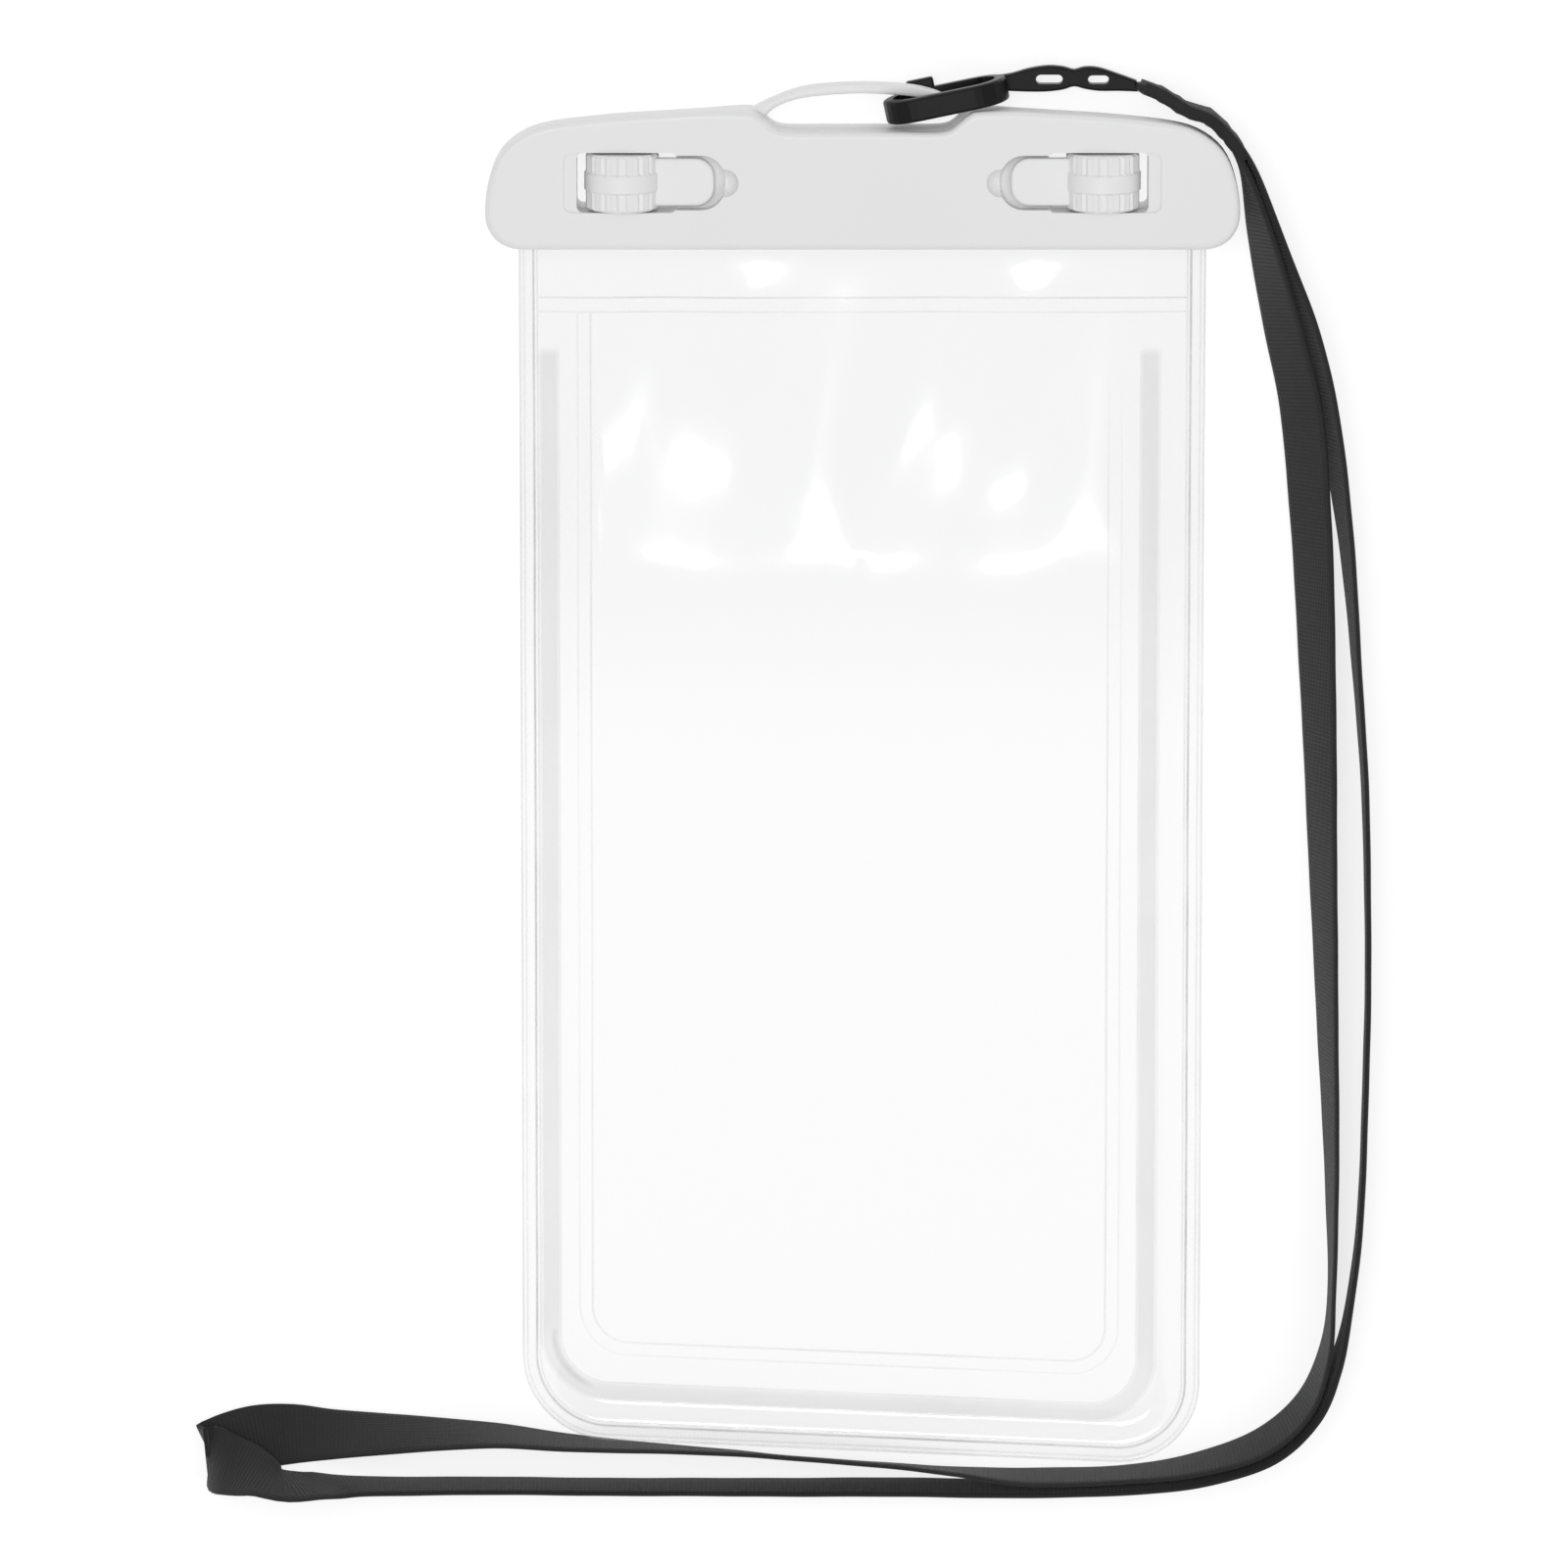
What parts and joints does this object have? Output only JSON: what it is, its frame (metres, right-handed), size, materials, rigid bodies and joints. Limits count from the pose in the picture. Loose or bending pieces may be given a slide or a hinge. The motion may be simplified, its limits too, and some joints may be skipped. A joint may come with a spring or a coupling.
{
  "type": "transparent phone pouch",
  "caption": "Clear film pouch clamped shut by a two-part plastic rail with turning locks, with a webbing lanyard on a moulded hook",
  "frame": {"origin": "on the surface the pouch lies on, at the middle of the pouch without its lanyard and hook", "axes": "+X across the pouch to the right seen from the front, +Y from the bottom seam to the rail, +Z from the back to the front, up from the surface"},
  "size_m": [0.1795, 0.222, 0.0157],
  "materials": {
    "rail": "light grey satin moulded plastic",
    "lock": "light grey satin moulded plastic, ribbed grip",
    "film": "clear flexible film, glossy, welded rims",
    "hook": "black moulded plastic, half gloss",
    "webbing": "black woven tape with cross ribs"
  },
  "bodies": {
    "pouch": {"back_rail": "rail", "front_rail": "rail", "back_film": "film", "front_film": "film", "snap_hook": "hook", "lanyard_strap": "webbing"},
    "left_lock": {"left_lock": "lock"},
    "right_lock": {"right_lock": "lock"}
  },
  "joints": [
    {"name": "left_lock_turn", "type": "hinge", "parent": "pouch", "child": "left_lock", "pos_m": [-0.0364, 0.09345, 0.0082], "axis": [0, -1, 0], "range_deg": [0, 90]},
    {"name": "right_lock_turn", "type": "hinge", "parent": "pouch", "child": "right_lock", "pos_m": [0.0364, 0.09345, 0.0082], "axis": [0, 1, 0], "range_deg": [0, 90]}
  ]
}
